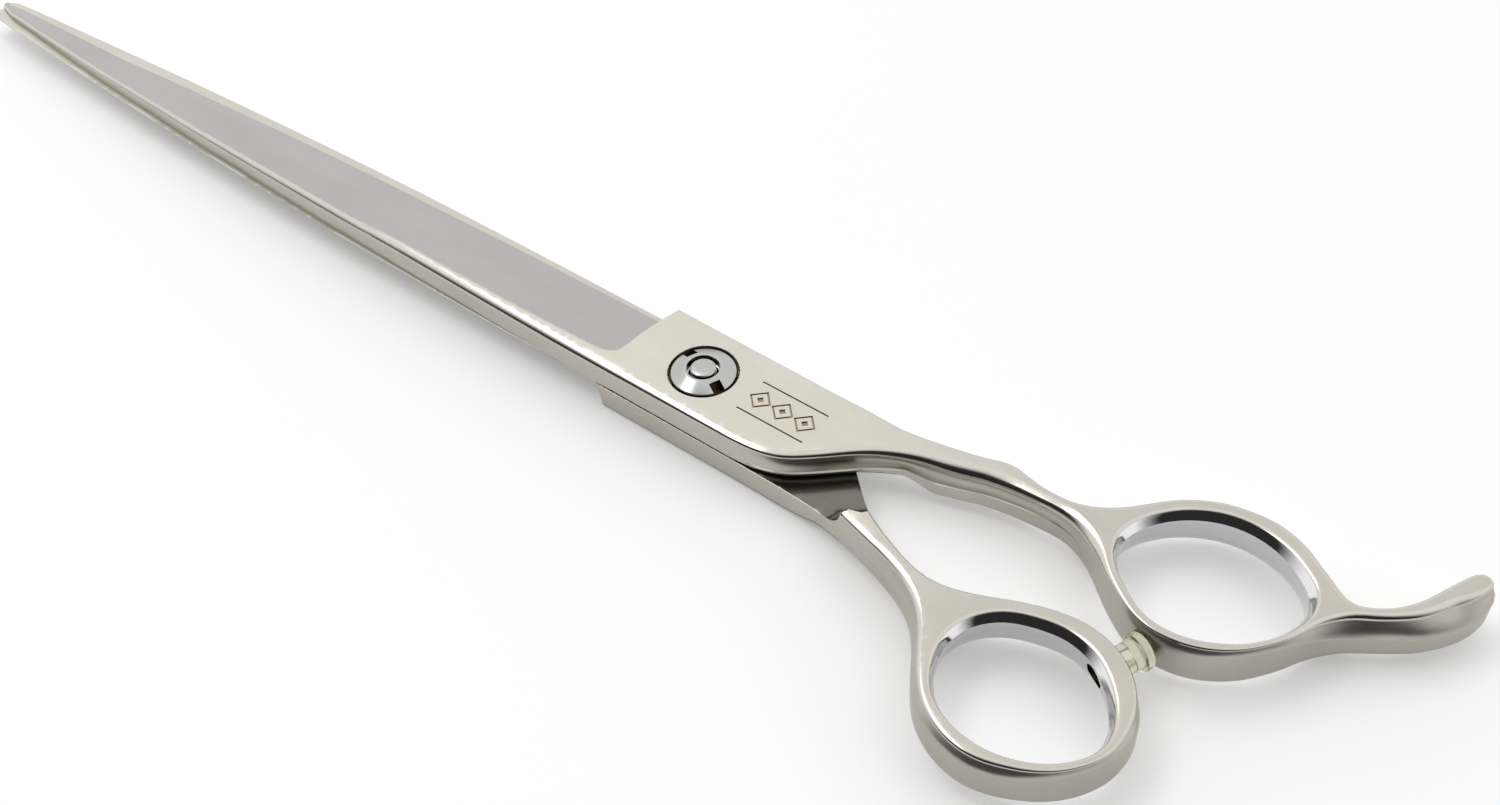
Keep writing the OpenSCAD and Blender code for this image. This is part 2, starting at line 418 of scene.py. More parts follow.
def staggered_grid(loops, lines, pitch=1.0):
    """Points in offset rows inside the loops, clear of the loops and of the lines."""
    low, high = loops[0].min(0), loops[0].max(0)
    x, y = np.meshgrid(np.arange(low[0], high[0], pitch), np.arange(low[1], high[1], pitch))
    shift = 0.5 * pitch * (np.arange(len(x)) % 2)
    grid = np.column_stack([(x + shift[:, None]).ravel(), y.ravel()])
    grid = grid[inside_loops(grid, loops)]
    grid = grid[clear_of(grid, loops, 0.45 * pitch)]
    for line in lines:
        grid = grid[abs(line_distance(grid, line)) >= 0.4 * pitch]
    return grid


def triangulated(loops, lines):
    """Triangles between the loops and along the lines, with the source of each point."""
    points = list(np.vstack(loops))
    edges = []
    for loop in loops:
        first = len(edges)
        count = len(loop)
        edges += [(first + k, first + (k + 1) % count) for k in range(count)]
    for line in lines:
        good = inside_loops(line, loops) & clear_of(line, loops, 0.08)
        index = {}
        for k in np.flatnonzero(good):
            index[k] = len(points)
            points.append(line[k])
        edges += [(index[k], index[k + 1]) for k in index if k + 1 in index]
    points += list(staggered_grid(loops, lines))
    plan, _, faces, origin, _, _ = delaunay_2d_cdt(
        [Vector(p) for p in points], edges, [], 0, 1e-7, True)
    triangles = [face for face in faces if len(face) == 3]
    return np.array([p[:] for p in plan]), np.array(triangles), origin


def add_object(name, data):
    obj = bpy.data.objects.new(name, data)
    bpy.context.scene.collection.objects.link(obj)
    return obj


class Mesh:
    """Vertices in mm, faces and the material slot of each face."""

    def __init__(self):
        self.verts = []
        self.faces = []
        self.slots = []

    def ring(self, points):
        start = len(self.verts)
        self.verts.extend(tuple(p) for p in points)
        return np.arange(start, start + len(points))

    def face(self, corners, slot):
        self.faces.append(tuple(int(c) for c in corners))
        self.slots.append(slot)

    def band(self, upper, lower, slots):
        """Quads between two closed rings of the same count."""
        slots = np.broadcast_to(slots, len(upper))
        for a, b, c, d, slot in zip(upper, np.roll(upper, -1), np.roll(lower, -1), lower, slots):
            self.face((a, d, c, b), slot)

    def cap(self, rings, height, lines, slot_of, up):
        """A face over closed rings (outline first, then holes), following the lines."""
        ids = np.concatenate(rings)
        flat = [np.array([self.verts[i][:2] for i in ring]) for ring in rings]
        plan, triangles, origin = triangulated(flat, lines)
        centre = plan[triangles].mean(1)
        keep = inside_loops(centre, flat)
        triangles, centre = triangles[keep], centre[keep]
        number = np.full(len(plan), -1)
        for k, source in enumerate(origin):
            wall = [s for s in source if s < len(ids)]
            if wall:
                number[k] = ids[wall[0]]
        fresh = np.flatnonzero(number < 0)
        fresh = fresh[np.isin(fresh, triangles)]
        number[fresh] = self.ring(np.column_stack([plan[fresh], height(plan[fresh])]))
        for corners, slot in zip(number[triangles], slot_of(centre)):
            self.face(corners if up else corners[::-1], slot)

    def build(self, name, materials):
        data = bpy.data.meshes.new(name)
        data.from_pydata([tuple(c * MM for c in v) for v in self.verts], [], self.faces)
        data.polygons.foreach_set("material_index", [int(slot) for slot in self.slots])
        obj = add_object(name, data)
        for material in materials:
            data.materials.append(material)
        finish_normals(obj, SHARP)
        return obj


# edges of the forgings that bend by more degrees stay sharp
SHARP = 32.0


def finish_normals(obj, sharp):
    """Merges doubled vertices, turns the faces outwards and smooths the blunter edges."""
    bm = bmesh.new()
    bm.from_mesh(obj.data)
    bmesh.ops.remove_doubles(bm, verts=bm.verts, dist=0.002 * MM)
    bmesh.ops.dissolve_degenerate(bm, edges=bm.edges, dist=0.001 * MM)
    bmesh.ops.recalc_face_normals(bm, faces=bm.faces)
    bm.to_mesh(obj.data)
    bm.free()
    obj.data.shade_smooth()
    obj.data.set_sharp_from_angle(angle=math.radians(sharp))


def dress(obj, material):
    obj.data.materials.clear()
    obj.data.materials.append(material)


def shade_evenly(obj):
    """Lets the large faces set the normals of the edges that they share."""
    weigh = obj.modifiers.new("even_shading", "WEIGHTED_NORMAL")
    weigh.keep_sharp = True
    weigh.weight = 95


def circle(radius, height, count=ROUND):
    turn = 2 * np.pi * np.arange(count) / count
    full = np.ones(count)
    return np.column_stack([radius * np.cos(turn), radius * np.sin(turn), height * full])


# material slots of the halves; the last one is painted shade for the ride faces, the joint line
# and the stud bore's mouth
SATIN, MIRROR, PANEL, ENGRAVED, EDGE, PAINTED_SHADE = range(6)
# bands of a wall that make its top edge and its bottom edge
ARC_STEPS = 6
FOOT_STEPS = 4
# width kept between an outer wall's top edge and a ring opening
OPENING_EDGE = 0.8


def opening_rim(opening, tuck, stretch):
    """Wall of a ring opening: tucked in at the far side, stretched at its +X end."""
    outward = -left_normals(opening)
    near = smooth_step(outward @ VIEW_SIDE, -0.6, 0.6)
    end = smooth_step(outward[:, 0], 0.5, 1.0)
    inset = (0.05 + tuck) * near - tuck + stretch * end
    return Rim(opening, {"inset": inset, "radius": 0.2, "foot": 0.45,
                         "waist": 1.05 - 0.55 * near})


def forge(name, outline, opening, top, bottom, rims, bore, lines, slots, materials):
    """One forged half: walls, ring opening, stepped pivot bore, top and bottom faces."""
    mesh = Mesh()
    tops, bottoms = [], []
    walls = [(outline, left_normals(outline), rims[0], SATIN, EDGE),
             (opening, -left_normals(opening), rims[1], MIRROR, EDGE)]
    for points, inward, profile, slot, edge_slot in walls:
        rings = [mesh.ring(r) for r in wall_rings(points, inward, top, bottom, profile)]
        # the foot bands along the joint of the halves are painted dark as the shade in the gap
        # between them
        joint_shade = np.where(abs(points[:, 0] - 7) < 21, PAINTED_SHADE, slot)
        slots_down = [edge_slot] * ARC_STEPS + [slot] * (len(rings) - ARC_STEPS - FOOT_STEPS - 1)
        slots_down += [joint_shade] * FOOT_STEPS
        for upper, lower, tone in zip(rings, rings[1:], slots_down):
            mesh.band(upper, lower, tone)
        tops.append(rings[0])
        bottoms.append(rings[-1])
    rings = [mesh.ring(circle(radius, height)) for radius, height in bore]
    for upper, lower in zip(rings, rings[1:]):
        mesh.band(upper, lower, SATIN)
    tops.append(rings[0])
    bottoms.append(rings[-1])
    mesh.cap(tops, top, lines[0], slots[0], True)
    mesh.cap(bottoms, bottom, lines[1], slots[1], False)
    return mesh.build(name, materials)


# ---------------------------------------------------------------- materials

def new_material(name):
    material = bpy.data.materials.new(name)
    material.use_nodes = True
    tree = material.node_tree
    place = tree.nodes.new("ShaderNodeTexCoord").outputs["Object"]
    return material, tree, tree.nodes["Principled BSDF"], place


def feed(tree, node, inputs):
    """Sets each named input of a node to its value, or links it to its socket."""
    for name, value in inputs.items():
        if isinstance(value, bpy.types.NodeSocket):
            tree.links.new(value, node.inputs[name])
        else:
            node.inputs[name].default_value = value


def new_node(tree, kind, inputs, **settings):
    node = tree.nodes.new("ShaderNode" + kind)
    for name, value in settings.items():
        setattr(node, name, value)
    feed(tree, node, inputs)
    return node.outputs


def noise(tree, vector, waves, detail=3.0):
    """Noise with a number of waves in a millimetre, one for all axes or one for each."""
    scale = [w / MM for w in np.broadcast_to(waves, 3)]
    spread = new_node(tree, "Mapping", {"Vector": vector, "Scale": scale})["Vector"]
    return new_node(tree, "TexNoise", {"Vector": spread, "Scale": 1.0, "Detail": detail,
                                       "Roughness": 0.55})["Fac"]


def ramp(tree, value, low, high, to_low, to_high):
    return new_node(tree, "MapRange", {"Value": value, "From Min": low, "From Max": high,
                                       "To Min": to_low, "To Max": to_high})["Result"]


def join(tree, operation, a, b):
    """Two values added or multiplied."""
    return new_node(tree, "Math", {0: a, 1: b}, operation=operation)[0]


def axes(tree, vector):
    """The X, Y and Z of a vector."""
    return new_node(tree, "SeparateXYZ", {0: vector})


def two_tone(tree, value, first, second):
    return new_node(tree, "Mix", {"Factor": value, "A": (*first, 1), "B": (*second, 1)},
                    data_type="RGBA")["Result"]


def bump(tree, shader, value, depth, strength=1.0):
    normal = new_node(tree, "Bump", {"Height": value, "Distance": depth * MM,
                                     "Strength": strength})["Normal"]
    feed(tree, shader, {"Normal": normal})


def bare_metal(tree, shader, colour, rough):
    feed(tree, shader, {"Base Color": colour, "Roughness": rough, "Metallic": 1})


def satin_steel():
    """Warm satin steel: fine grain, faint clouds and streaks, and painted shade that darkens it
    towards the handles.
    """
    material, tree, shader, place = new_material("satin_steel")
    cloud = noise(tree, place, (0.09, 0.2, 0.2))
    grain = noise(tree, place, 5, detail=2)
    streak = noise(tree, place, (0.5, 7, 7), detail=4)
    tone = ramp(tree, join(tree, "ADD", cloud, grain), 0.7, 1.3, 0, 1)
    steel = two_tone(tree, tone, (0.48, 0.451, 0.396), (0.535, 0.51, 0.458))
    # painted shade: the colour falls to 0.86 of itself from x = 26 to 50 mm, over the handles
    # and rings
    handle_shade = ramp(tree, axes(tree, place)["X"], 26 * MM, 50 * MM, 1.0, 0.86)
    shaded_steel = new_node(tree, "VectorMath", {0: steel, "Scale": handle_shade}, operation="SCALE")[0]
    worked = join(tree, "ADD", grain, streak)
    bare_metal(tree, shader, shaded_steel, ramp(tree, worked, 0.6, 1.4, 0.3, 0.38))
    bump(tree, shader, worked, 0.002, 0.13)
    return material


def ground_steel():
    """Cooler steel of the ground panel, lapped along the blade."""
    material, tree, shader, place = new_material("ground_steel")
    cloud = noise(tree, place, (0.05, 0.14, 0.14))
    lap = noise(tree, place, (0.25, 9, 9), detail=4)
    tone = ramp(tree, join(tree, "ADD", cloud, lap), 0.7, 1.3, 0, 1)
    colour = two_tone(tree, tone, (0.35, 0.34, 0.335), (0.39, 0.38, 0.375))
    bare_metal(tree, shader, colour, ramp(tree, lap, 0.3, 0.7, 0.3, 0.4))
    bump(tree, shader, lap, 0.002, 0.5)
    return material


def edge_steel():
    """The rounded rims, rubbed brighter than the satin faces."""
    material, tree, shader, place = new_material("edge_steel")
    cloud = noise(tree, place, 0.3)
    grain = noise(tree, place, 4, detail=2)
    colour = two_tone(tree, cloud, (0.465, 0.443, 0.397), (0.53, 0.505, 0.46))
    bare_metal(tree, shader, colour, ramp(tree, grain, 0.3, 0.7, 0.13, 0.2))
    bump(tree, shader, grain, 0.002, 0.25)
    return material


def painted_shade_steel():
    """The inner faces that slide on each other, the joint line and the stud bore's mouth:
    lapped, with lines along the blade, and painted dark as shade.
    """
    material, tree, shader, place = new_material("painted_shade_steel")
    lap = noise(tree, place, (0.2, 8, 8), detail=4)
    colour = two_tone(tree, lap, (0.12, 0.115, 0.095), (0.18, 0.17, 0.145))
    bare_metal(tree, shader, colour, ramp(tree, lap, 0.3, 0.7, 0.12, 0.2))
    bump(tree, shader, lap, 0.002, 0.3)
    return material


def etched_steel():
    """The floor of the engraved ornament: dull, brown from the etching."""
    material, tree, shader, place = new_material("etched_steel")
    grain = noise(tree, place, 6)
    colour = two_tone(tree, grain, (0.20, 0.15, 0.09), (0.36, 0.29, 0.19))
    bare_metal(tree, shader, colour, 0.5)
    bump(tree, shader, grain, 0.01, 0.6)
    return material


def mirror_steel():
    """Polished steel inside the ring openings and on the small turned parts."""
    material, tree, shader, place = new_material("mirror_steel")
    haze = noise(tree, place, 0.4)
    colour = two_tone(tree, haze, (0.62, 0.615, 0.625), (0.67, 0.665, 0.67))
    bare_metal(tree, shader, colour, ramp(tree, haze, 0.3, 0.7, 0.06, 0.13))
    bump(tree, shader, haze, 0.02, 0.25)
    return material


def turned_steel():
    """Chromed steel with the fine rings that a lathe leaves around the pivot axis."""
    material, tree, shader, place = new_material("turned_steel")
    split = axes(tree, place)
    flat = new_node(tree, "CombineXYZ", {"X": split["X"], "Y": split["Y"]})[0]
    radius = new_node(tree, "VectorMath", {0: flat}, operation="LENGTH")["Value"]
    line = new_node(tree, "CombineXYZ", {"X": radius})[0]
    rings = noise(tree, line, (11, 1, 1))
    colour = two_tone(tree, rings, (0.33, 0.33, 0.325), (0.45, 0.45, 0.44))
    bare_metal(tree, shader, colour, ramp(tree, rings, 0.3, 0.7, 0.14, 0.22))
    tangent = new_node(tree, "Tangent", {}, direction_type="RADIAL", axis="Z")[0]
    feed(tree, shader, {"Anisotropic": 0.6, "Tangent": tangent})
    bump(tree, shader, rings, 0.004, 0.5)
    return material


def bronze():
    # Bronze of the pivot bush and the click ring, painted nearly black as the shade under the
    # nut and inside its key slots.
    material, tree, shader, place = new_material("bronze")
    cloud = noise(tree, place, 0.5)
    colour = two_tone(tree, cloud, (0.05, 0.035, 0.02), (0.08, 0.055, 0.03))
    bare_metal(tree, shader, colour, ramp(tree, cloud, 0.3, 0.7, 0.3, 0.42))
    bump(tree, shader, noise(tree, place, 4), 0.006, 0.5)
    return material


def white_polymer():
    material, tree, shader, place = new_material("white_polymer")
    cloud = noise(tree, place, 0.8)
    colour = two_tone(tree, cloud, (0.72, 0.71, 0.67), (0.80, 0.79, 0.76))
    feed(tree, shader, {"Base Color": colour, "Roughness": 0.5})
    bump(tree, shader, noise(tree, place, 6), 0.006, 0.4)
    return material


def clear_polymer():
    """Cloudy silicone rubber, slightly yellowed."""
    material, tree, shader, place = new_material("clear_polymer")
    cloud = noise(tree, place, 0.6)
    colour = two_tone(tree, cloud, (0.80, 0.77, 0.58), (0.88, 0.86, 0.72))
    rough = ramp(tree, cloud, 0.3, 0.7, 0.06, 0.12)
    feed(tree, shader, {"Base Color": colour, "Roughness": rough, "IOR": 1.41,
                        "Transmission Weight": 0.9, "Subsurface Weight": 0.08,
                        "Subsurface Radius": (1.0, 0.9, 0.7), "Subsurface Scale": 1.2 * MM})
    bump(tree, shader, noise(tree, place, 1.5), 0.01, 0.3)
    return material


MIRROR_STEEL = mirror_steel()
GROUND_STEEL = ground_steel()
TURNED_STEEL = turned_steel()
FORGED = [satin_steel(), MIRROR_STEEL, GROUND_STEEL, etched_steel(), edge_steel(),
          painted_shade_steel()]


# ---------------------------------------------------------------- the two halves

def outline_spacing(step_x):
    """Distance between outline points: finer where the ground face runs out."""
    def spacing(points):
        return np.where(abs(points[:, 0] - step_x + 1.5) < 3.2, 0.22, 0.75)
    return spacing


def opening_spacing(points):
    """Distance between the points of a ring opening."""
    return np.full(len(points), 0.7)


def by_side(inward, near, far):
    """Values for the near side of a wall and for its far side."""
    return far + (near - far) * smooth_step(-inward @ NEAR_SIDE, -0.35, 0.35)


def two_sided(outline, inward, near, far):
    """A wall whose near and far sides have their own sizes."""
    return Rim(outline, {name: by_side(inward, near[name], far[name]) for name in near})


def ramped(x, *stops):
    """A value that changes along X: stops are (x, value) pairs."""
    return np.interp(x, [s[0] for s in stops], [s[1] for s in stops])


def limit_to_room(rim, points, inward, share, opening):
    """Shrink a rim where the outline is narrow or the ring opening is close."""
    handle = points[:, 0] > 40
    rim.inset = np.where(handle, even_out(rim.inset, 8), rim.inset)
    room = even_out(curve_room(points, inward), 3)
    total = np.maximum(rim.inset + rim.radius + rim.brow, 1e-6)
    scale = np.minimum(1, share * room / total)
    beside = np.array([np.hypot(*(opening - point).T).min() for point in points])
    scale = np.minimum(scale, (beside - OPENING_EDGE) / total)
    scale = even_out(scale, 2)
    rim.inset *= scale
    rim.radius *= scale
    rim.brow *= scale
    rim.foot = np.minimum(rim.foot, np.minimum(0.85 * room, beside - OPENING_EDGE))
    rim.flute = np.minimum(rim.flute, 0.6 * room)


# lines across the halves where they rise to their full height, and the widths of the rises
HEEL = np.array([(34.8, 1.5), (33.8, 3.3), (31.9, 5.4), (29.8, 7.6)])
HEEL_RUN = 3.2
SHOULDER = np.array([(32.5, -4.6), (30.7, -6.5), (28.7, -7.8), (27.4, -9.6)])
FILLET = 3.8


def finger_wall(outline, inward, opening):
    """The finger half's wall, from the blade (-X) by the ring to the tang (+X)."""
    x = outline[:, 0]
    near = {
        "inset": ramped(x, (TIP_X, 0.1), (-110, 0.1), (-20, 0), (-8, 0.1), (10, 0.15),
                        (16, 0.1), (26, 0.3), (36, 0.1), (58, 0.1), (64, 0.7), (79, 0.7),
                        (83, 1.3), (92, 1.9)),
        "radius": ramped(x, (TIP_X, 0.2), (-110, 0.5), (-70, 0.8), (-20, 0.9), (0, 0.6),
                         (16, 0.4), (26, 0.7), (36, 1.2), (54, 1.1), (64, 0.35),
                         (79, 0.35), (86, 0.8), (90, 0.9)),
        "flute": ramped(x, (10.5, 0), (18, 0.4), (30, 0.4), (46, 0.25), (58, 0),
                        (64, -0.12), (82, -0.12), (90, -0.35)),
        "foot": ramped(x, (-14, 0.05), (-10, 0.34), (28.5, 0.34), (33, 0.36), (48, 1.0)),
        "ridge": ramped(x, (24, 0.12), (33, 0.4), (45, 0.5), (58, 0.5), (64, 0.78),
                        (79, 0.78), (84, 0.55), (90, 0.5)),
        "ledge": ramped(x, (12, 0), (17, 0.28), (30, 0.28), (38, 0.1), (57, 0)),
        "brow": ramped(x, (TIP_X, 0.1), (-30, 0.18), (-8, 0.3), (40, 0.3), (50, 0.05))}
    far = {
        "inset": ramped(x, (20, 0), (36, 0.55), (50, 0.3), (60, 0.8), (76, 0.7), (84, 0.1)),
        "radius": ramped(x, (-10.45, 0.02), (-10.2, 0.12), (22, 0.15), (34, 0.5), (55, 0.9),
                         (82, 0.8), (90, 0.4)),
        "flute": ramped(x, (20, 0), (30, 0.2), (50, 0)),
        "foot": ramped(x, (28.5, 0.03), (33, 0.25), (48, 1.0)),
        "ridge": ramped(x, (24, 0.12), (33, 0.4), (45, 0.5)),
        "ledge": 0,
        "brow": 0.05}
    # the tang's round end has its own edge
    tang_end = smooth_step(-inward @ TANG_AXIS, 0.5, 0.95) * (x > 88)
    near["inset"] = near["inset"] * (1 - tang_end) + 0.8 * tang_end
    near["radius"] = near["radius"] * (1 - tang_end) + 0.5 * tang_end
    rim = two_sided(outline, inward, near, far)
    share = by_side(inward, ramped(x, (80, 0.85), (86, 1.3)), ramped(x, (78, 0.85), (84, 0.35)))
    limit_to_room(rim, outline, inward, share, opening)
    return rim


def finger_bore():
    """The recess of the nut, with a lip at its mouth, and the bore of the bush."""
    washer_low, washer_high = cad_box("thrust_washer")
    bush = cad_box("pivot_bush")[1][0] + 0.03
    pocket = washer_high[0] + 0.14
    mouth = pocket - 0.15
    return [(mouth + 0.06, BLOCK_TOP), (mouth, BLOCK_TOP - 0.06), (mouth, BLOCK_TOP - 0.6),
            (pocket, BLOCK_TOP - 0.7), (pocket, washer_low[2]), (bush, washer_low[2]),
            (bush, RIDE + RIDE_GAP)]


def finger_half():
    loops = section_loops("finger_blade", RIDE + JUST_OFF)
    outline = fair_loop(loops[0], outline_spacing(-10.8), (30, 37))
    opening = fair_loop(loops[1], opening_spacing)
    relief = Relief(outline, 0.0)

    def top(points):
        height = np.full(len(points), BLOCK_TOP)
        blade = points[:, 0] < RELIEF_END
        height[blade] = RIDE + relief.height(points[blade])
        return height

    def bottom(points):
        drop = np.clip(1 - line_distance(points, HEEL) / HEEL_RUN, 0, 1)
        return RIDE + RIDE_GAP + (RING_BOTTOM - RIDE - RIDE_GAP) * drop

    def inner_slot(centres):
        # the ride face beyond the heel is painted dark as shade
        return np.where(line_distance(centres, HEEL) > HEEL_RUN, PAINTED_SHADE, SATIN)

    rims = (finger_wall(outline, left_normals(outline), opening),
            opening_rim(opening, 0.3, 0.4))
    lines = (relief.features(), [HEEL, HEEL + [-2.6, -1.9]])
    return forge("finger_half_steel", outline, opening, top, bottom, rims, finger_bore(),
                 lines, (relief.slots, inner_slot), FORGED)


def thumb_wall(outline, inward, opening, rise):
    """The thumb half's wall: its top edge is rounded only where the shank has risen."""
    x = outline[:, 0]
    radius = np.maximum(rise * ramped(x, (34, 0.45), (40, 0.5), (50, 0.35)), 0.03)
    near = {
        "inset": rise * ramped(x, (29, 0.1), (36, 0.4), (43, 0.5), (50, 0.7)),
        "radius": radius,
        "flute": ramped(x, (32, 0), (38, 0.2), (46, 0.05), (52, -0.12)),
        "foot": ramped(x, (-12.2, 0.02), (-11.8, 0.4), (18, 0.5), (32, 1.0)),
        "ridge": ramped(x, (36, 0.42), (50, 0.78)),
        "brow": 0.02 + rise * ramped(x, (40, 0.28), (52, 0.1))}
    far = {
        "inset": rise * ramped(x, (33, 1.1), (40, 0.6), (50, 0.3)),
        "radius": radius,
        "flute": 0,
        "foot": ramped(x, (TIP_X, 0.2), (-110, 0.45), (-20, 0.65), (18, 0.6), (32, 1.0)),
        "ridge": 0.42,
        "brow": 0.02}
    rim = two_sided(outline, inward, near, far)
    limit_to_room(rim, outline, inward, 0.85, opening)
    return rim


def thumb_bore():
    """The recess of the slide washer, the shank's bore and the seat of the screw's head."""
    head = cad_box("pivot_screw")[1][0]
    washer_low, washer_high = cad_box("slide_washer")
    recess = washer_high[0] + 0.1
    floor = washer_low[2] - 0.02
    shank = 2.86
    seat = 1.32
    return [(recess, RIDE - RIDE_GAP), (recess, floor), (shank, floor), (shank, seat),
            (head + 0.03, seat), (head + 0.03, 0.12), (head + 0.15, 0)]


def thumb_outline():
    """Outlines of the thumb half and of its ring opening: blade and grip joined."""
    blade = section_loops("thumb_blade", RIDE - JUST_OFF)[0]
    grip, hole = section_loops("thumb_blade", GRIP_LEVEL)[:2]
    whole = np.vstack([open_run(grip, grip[:, 0] >= -5), open_run(blade, blade[:, 0] < -5)])

    def spacing(points):
        close = (abs(line_distance(points, SHOULDER)) < 4.5) & (abs(points[:, 0] - 30) < 8)
        return np.where(close, 0.2, outline_spacing(-12.6)(points))

    return fair_loop(whole, spacing, (27, 33)), fair_loop(hole, opening_spacing)


def shoulder_lines():
    """Lines beside the shoulder and down its fillet."""
    across = line_normals(SHOULDER)
    arcs = [SHOULDER + across * -FILLET * (1 - q) for q in (0.25, 0.5, 0.72, 0.88, 0.97)]
    return [SHOULDER + across * 0.02, SHOULDER - across * 0.02] + arcs


def thumb_half():
    outline, opening = thumb_outline()
    relief = Relief(outline[::-1] * MIRRORED, -1.8)
    inward = left_normals(outline)
    ride = RIDE - RIDE_GAP

    def top(points):
        q = np.clip((line_distance(points, SHOULDER) + FILLET) / FILLET, 0, 1)
        return ride + (BLOCK_TOP - ride) * (1 - np.sqrt(np.maximum(1 - q * q, 0)))

    def bottom(points):
        height = RING_BOTTOM * smooth_step(points[:, 0], 17, 32)
        blade = points[:, 0] < RELIEF_END
        height[blade] = RIDE - relief.height(points[blade] * MIRRORED)
        return height

    def inner_slot(centres):
        # the thumb's ride face beside the shoulder is painted dark as shade
        shaded_ride_face = (line_distance(centres, SHOULDER) < -0.6 * FILLET) & (centres[:, 0] > -14)
        return np.where(shaded_ride_face, PAINTED_SHADE, SATIN)

    def outer_slot(centres):
        return relief.slots(centres * MIRRORED)

    rise = (top(outline + 1.2 * inward) - ride) / (BLOCK_TOP - ride)
    rims = (thumb_wall(outline, inward, opening, rise), opening_rim(opening, 0.45, 0.1))
    lines = (shoulder_lines(), [line * MIRRORED for line in relief.features()])
    return forge("thumb_half_steel", outline, opening, top, bottom, rims, thumb_bore(),
                 lines, (inner_slot, outer_slot), FORGED)


# ---------------------------------------------------------------- cutting and turning

def apply_cut(obj, cutter):
    """Removes the cutter's volume from the object's mesh."""
    change = obj.modifiers.new("cut", "BOOLEAN")
    change.operation = "DIFFERENCE"
    change.solver = "EXACT"
    change.object = cutter
    graph = bpy.context.evaluated_depsgraph_get()
    result = bpy.data.meshes.new_from_object(obj.evaluated_get(graph))
    obj.modifiers.clear()
    obj.data = result
    bpy.data.objects.remove(cutter)
    finish_normals(obj, SHARP)


def paint(obj, slot):
    for polygon in obj.data.polygons:
        polygon.material_index = slot


def around(lower, upper, count):
    """Quads between two rings of vertices, each given by its first index."""
    ahead = [(k + 1) % count for k in range(count)]
    return [(lower + k, lower + j, upper + j, upper + k) for k, j in enumerate(ahead)]


def prism(outline, low, high):
    """Mesh data for an upright prism."""
    count = len(outline)
    verts = [(x, y, z) for z in (low, high) for x, y in outline]
    caps = [tuple(range(count))[::-1], tuple(range(count, 2 * count))]
    return verts, caps + around(0, count, count)


def frame_prism(outer, inner, low, high):
    """Mesh data for an upright prism with a hole: outer and inner have equal counts."""
    n = len(outer)
    verts = [(x, y, z) for z in (low, high) for ring in (outer, inner) for x, y in ring]
    faces = []
    for k in range(n):
        j = (k + 1) % n
        faces.append((k, k + n, j + n, j))
        faces.append((k + 2 * n, j + 2 * n, j + 3 * n, k + 3 * n))
        faces.append((k, j, j + 2 * n, k + 2 * n))
        faces.append((k + n, k + 3 * n, j + 3 * n, j + n))
    return verts, faces


def plain_object(name, parts, matrix=Matrix.Identity(4)):
    """An object of one or more parts' mesh data, in mm, placed by the matrix."""
    verts, faces = [], []
    for part_verts, part_faces in parts:
        shift = len(verts)
        verts += [tuple(matrix @ Vector(v) * MM) for v in part_verts]
        faces += [tuple(i + shift for i in face) for face in part_faces]
    data = bpy.data.meshes.new(name)
    data.from_pydata(verts, [], faces)
    return add_object(name, data)


def lathe(profile, count=ROUND, hollow=False):
    """Mesh data for a profile of (radius, height), bottom to top, turned about Z."""
    verts = [tuple(p) for radius, height in profile for p in circle(radius, height, count)]
    rings = list(range(0, len(verts), count))
    faces = []
    for lower, upper in zip(rings, rings[1:] + rings[:1] * hollow):
        faces += around(lower, upper, count)
    if not hollow:
        faces.append(tuple(range(count))[::-1])
        faces.append(tuple(range(rings[-1], rings[-1] + count)))
    return verts, faces


def rounded(profile, corners):
    """A profile with some of its corners rounded: corners maps index to radius."""
    out = []
    points = [np.array(p, float) for p in profile]
    for k, point in enumerate(points):
        if k not in corners:
            out.append(tuple(point))
            continue
        before = points[k - 1] - point
        after = points[(k + 1) % len(points)] - point
        a = point + before / np.linalg.norm(before) * corners[k]
        b = point + after / np.linalg.norm(after) * corners[k]
        for t in np.linspace(0, 1, 5):
            out.append(tuple((1 - t) ** 2 * a + 2 * t * (1 - t) * point + t * t * b))
    return out


def square_outline(width, height, centre=(0, 0), turn=0.0):
    """Corners of a rectangle, turned about its centre."""
    corners = [(-1, -1), (1, -1), (1, 1), (-1, 1)]
    c, s = math.cos(turn), math.sin(turn)
    out = []
    for i, j in corners:
        x, y = 0.5 * width * i, 0.5 * height * j
        out.append((centre[0] + c * x - s * y, centre[1] + s * x + c * y))
    return out


def ornament_cutter():
    """Two engraved rules with a row of three lozenges between them."""
    depth, middle = 0.16, (12.6, 0.3)
    low, high = BLOCK_TOP - depth, BLOCK_TOP + 0.5
    parts = []
    for side in (-1, 1):
        line = square_outline(10.4, 0.24, (middle[0], middle[1] + 2.75 * side))
        parts.append(prism(line, low, high))
    for k in (-1, 0, 1):
        centre = (middle[0] + 3.5 * k, middle[1])
        dot, outer, inner = (square_outline(w, w, centre, math.pi / 4) for w in (0.75, 2.4, 1.9))
        parts += [prism(dot, low, high), frame_prism(outer, inner, low, high)]
    cutter = plain_object("ornament_cutter", parts)
    paint(cutter, ENGRAVED)
    return cutter


finger = finger_half()
thumb = thumb_half()
apply_cut(finger, ornament_cutter())


# ---------------------------------------------------------------- bumper and its stud

BUMPER_YAW = math.radians(68)
# heights along the bumper's own axis: the middle of the stud, the bumper's seat and end
STUD_AHEAD = 0.8
SEAT = 0.5
BUMPER_END = 4.55


